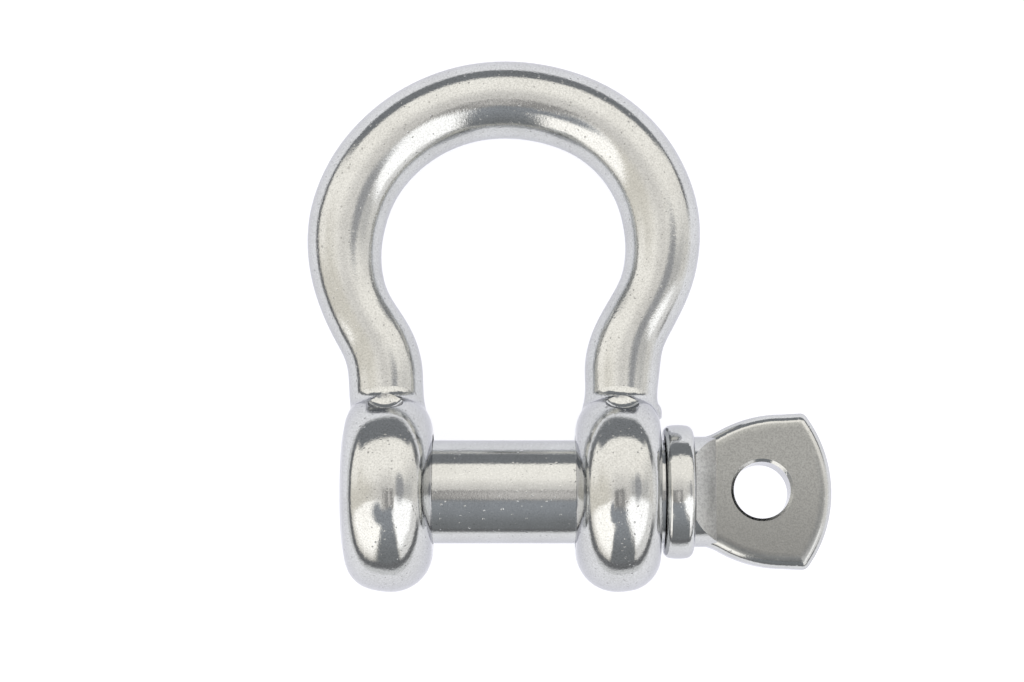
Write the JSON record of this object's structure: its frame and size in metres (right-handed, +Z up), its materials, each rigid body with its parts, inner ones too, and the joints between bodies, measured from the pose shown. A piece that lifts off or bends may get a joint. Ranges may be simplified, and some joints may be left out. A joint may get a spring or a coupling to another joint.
{
  "type": "bow shackle",
  "caption": "Forged stainless bow shackle: a rounded bow with a tapped and a plain eye, closed by a collared screw pin with an eyed tab.",
  "frame": {"origin": "on the pin's axis, midway between the two eyes, with the pin backed off by 0.4 mm as stored", "axes": "+X along the pin towards its tab; +Y across the surface that the shackle lies on, towards the crown; +Z up from that surface. The bow's plane dips 8.66 degrees towards the crown, because the shackle rests on both eyes and on its thinner crown"},
  "size_m": [0.0511, 0.0521, 0.0194],
  "materials": {
    "forged_stainless": "tumble-polished 316 stainless forging, finely pitted",
    "pin_stainless": "polished 316 stainless pin with a satin pressed tab"
  },
  "bodies": {
    "bow": {"bow_body": "forged_stainless"},
    "pin": {"screw_pin": "pin_stainless"}
  },
  "joints": [
    {"name": "pin_slide", "type": "slide", "parent": "bow", "child": "pin", "axis": [1, 0, 0], "range_m": [-0.00035, 0.032]}
  ]
}
